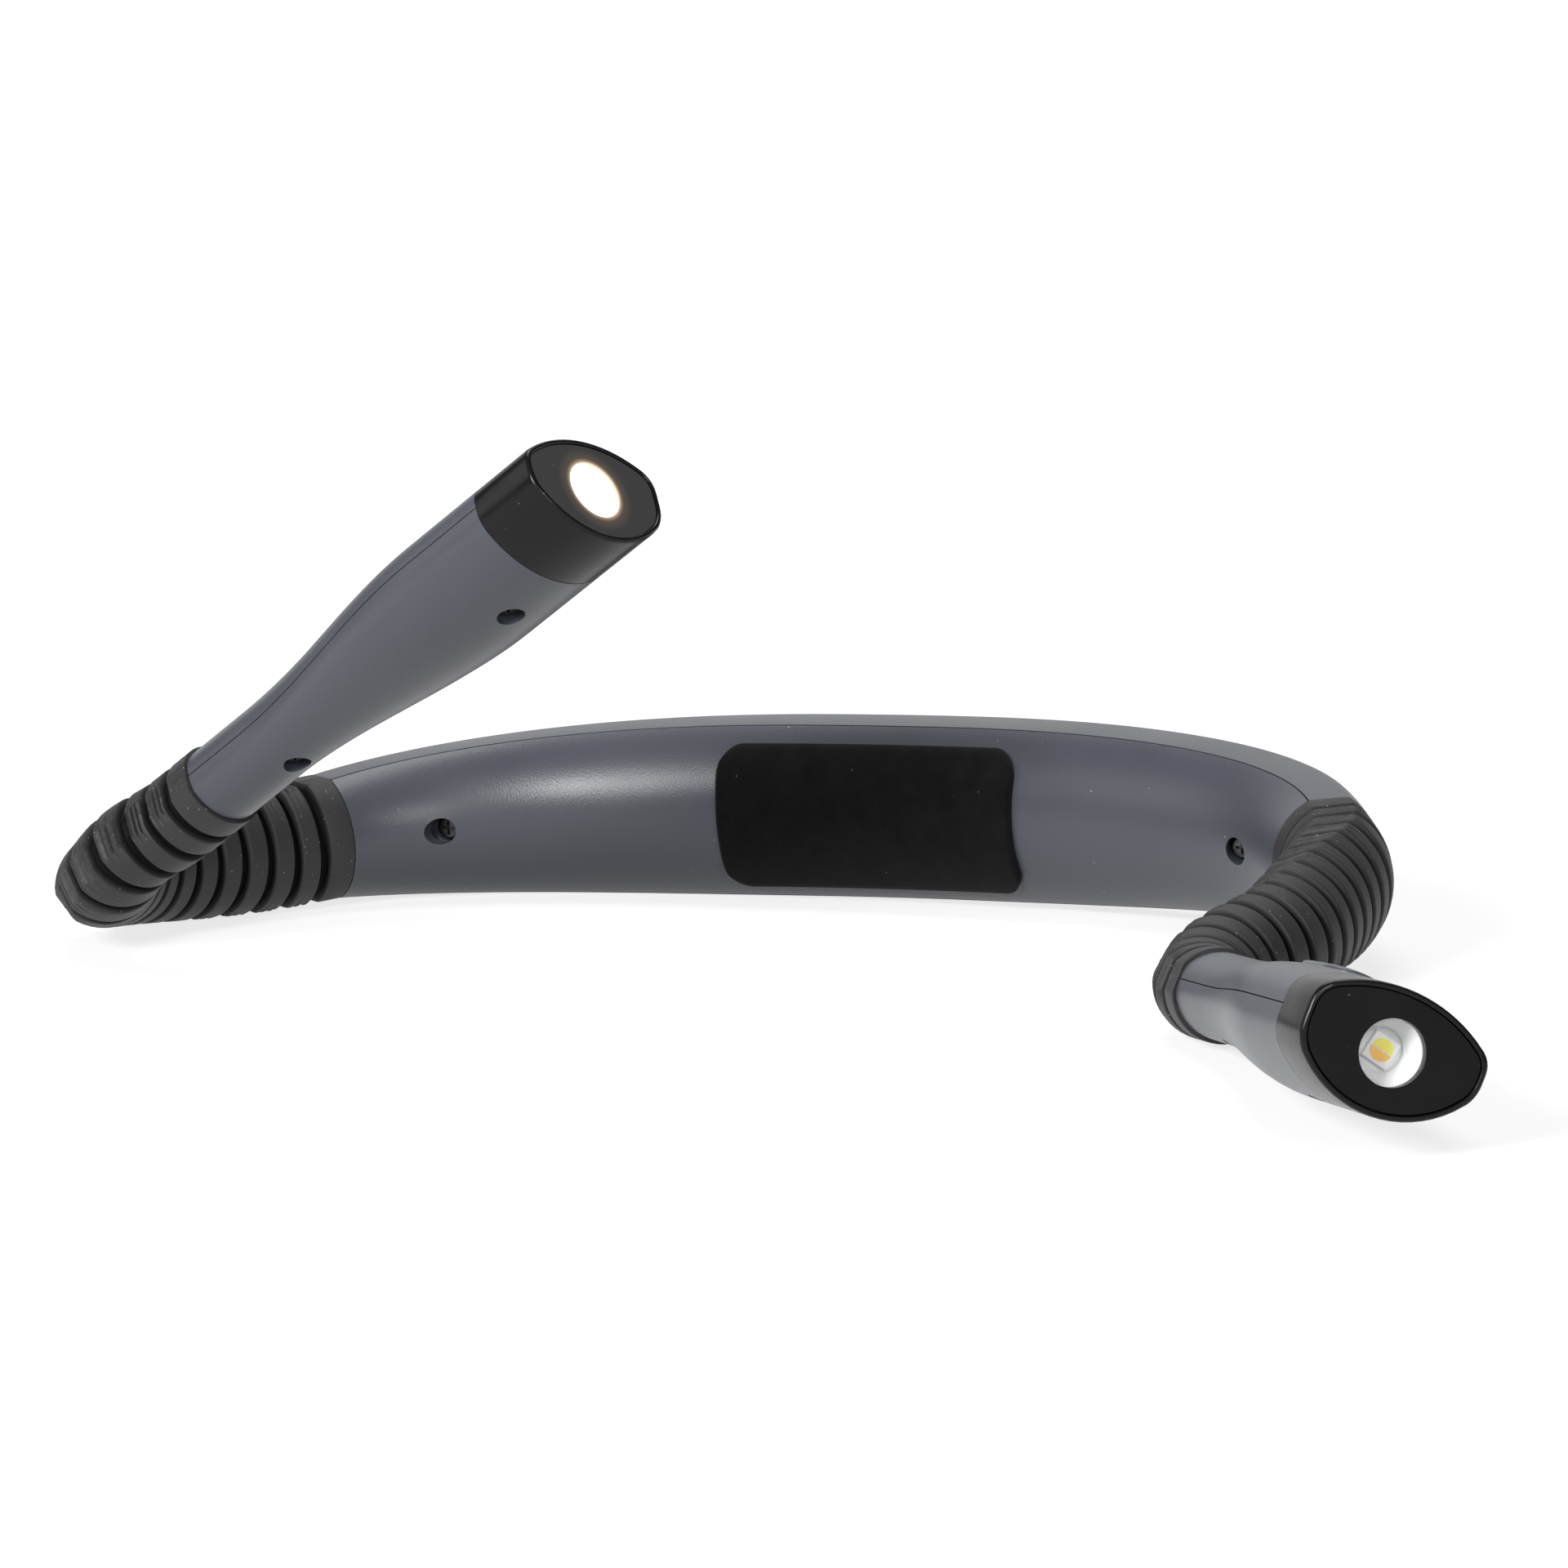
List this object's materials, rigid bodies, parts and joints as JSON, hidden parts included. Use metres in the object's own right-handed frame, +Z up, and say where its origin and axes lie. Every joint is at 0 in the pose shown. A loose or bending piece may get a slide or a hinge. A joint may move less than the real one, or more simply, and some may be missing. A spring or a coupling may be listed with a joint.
{
  "type": "neck reading light",
  "caption": "Curved neck band padded inside, with ribbed bendable arms ending in flared lamp heads that carry a small window and a push button.",
  "frame": {"origin": "centre of the bounding box in X and Y, at its bottom in Z, which is the table that the light lies on", "axes": "+Z up from the table, +X to the right as seen in the picture, -Y towards the band's open side"},
  "size_m": [0.2468, 0.1808, 0.0747],
  "materials": {
    "slate_shell": "satin, fine spark texture, blue grey",
    "black_silicone": "matt moulded silicone",
    "black_pad": "velvety matt",
    "gloss_black": "glossy, painted",
    "clear_lens": "clear, polished",
    "white_cup": "white, satin",
    "white_board": "white solder mask",
    "led_yellow": "yellow phosphor in silicone",
    "green_board": "green solder mask",
    "steel": "plain",
    "dark_steel": "blackened",
    "cell_wrap": "blue shrink wrap",
    "black_plastic": "moulded",
    "grey_cable": "soft insulation"
  },
  "bodies": {
    "neckband": {"neckband_inner_shell": "slate_shell", "neckband_outer_shell": "slate_shell", "neckband_screw_left": "dark_steel", "neckband_screw_right": "dark_steel", "neck_pad": "black_pad", "battery_cell": "cell_wrap", "charging_board": "green_board", "usb_c_port": "steel", "left_base_ferrule": "black_plastic", "right_base_ferrule": "black_plastic"},
    "left_arm": {"left_sleeve": "black_silicone", "left_gooseneck_core": "steel", "left_led_cable": "grey_cable"},
    "left_head": {"left_head_front_shell": "slate_shell", "left_head_back_shell": "slate_shell", "left_head_screw_neck": "dark_steel", "left_head_screw_front": "dark_steel", "left_head_cap": "gloss_black", "left_face_plate": "gloss_black", "left_lens_window": "clear_lens", "left_reflector_cup": "white_cup", "left_led_board": "white_board", "left_led_chip": "led_yellow", "left_push_switch": "black_plastic", "left_switch_board": "green_board", "left_tip_ferrule": "black_plastic"},
    "left_button": {"left_button": "slate_shell"},
    "right_arm": {"right_sleeve": "black_silicone", "right_gooseneck_core": "steel", "right_led_cable": "grey_cable"},
    "right_head": {"right_head_front_shell": "slate_shell", "right_head_back_shell": "slate_shell", "right_head_screw_neck": "dark_steel", "right_head_screw_front": "dark_steel", "right_head_cap": "gloss_black", "right_face_plate": "gloss_black", "right_lens_window": "clear_lens", "right_reflector_cup": "white_cup", "right_led_board": "white_board", "right_led_chip": "led_yellow", "right_push_switch": "black_plastic", "right_switch_board": "green_board", "right_tip_ferrule": "black_plastic"},
    "right_button": {"right_button": "slate_shell"}
  },
  "joints": [
    {"name": "left_arm_swing", "type": "hinge", "parent": "neckband", "child": "left_arm", "pos_m": [-0.11382, 0.03362, 0.00882], "axis": [-0.0191, -0.0792, 0.9967], "range_deg": [-60, 35], "deforming": ["left_sleeve", "left_gooseneck_core", "left_led_cable"]},
    {"name": "left_head_tilt", "type": "hinge", "parent": "left_arm", "child": "left_head", "pos_m": [-0.10386, -0.00085, 0.0151], "axis": [-0.2902, -0.9535, -0.0813], "range_deg": [-30, 60], "deforming": ["left_sleeve", "left_gooseneck_core", "left_led_cable"]},
    {"name": "left_button_press", "type": "slide", "parent": "left_head", "child": "left_button", "axis": [0.4385, -0.427, -0.7908], "range_m": [0, 0.0005], "stiffness_N_per_m": 900, "springref_m": -0.0004},
    {"name": "right_arm_swing", "type": "hinge", "parent": "neckband", "child": "right_arm", "pos_m": [0.05863, 0.03416, 0.01095], "axis": [-0.0191, -0.0792, 0.9967], "range_deg": [-45, 60], "deforming": ["right_sleeve", "right_gooseneck_core", "right_led_cable"]},
    {"name": "right_head_tilt", "type": "hinge", "parent": "right_arm", "child": "right_head", "pos_m": [0.05872, -0.00396, 0.00709], "axis": [-0.9989, -0.0417, -0.0225], "range_deg": [-50, 50], "deforming": ["right_sleeve", "right_gooseneck_core", "right_led_cable"]},
    {"name": "right_button_press", "type": "slide", "parent": "right_head", "child": "right_button", "axis": [-0.2814, -0.311, -0.9078], "range_m": [0, 0.0005], "stiffness_N_per_m": 900, "springref_m": -0.0004}
  ]
}
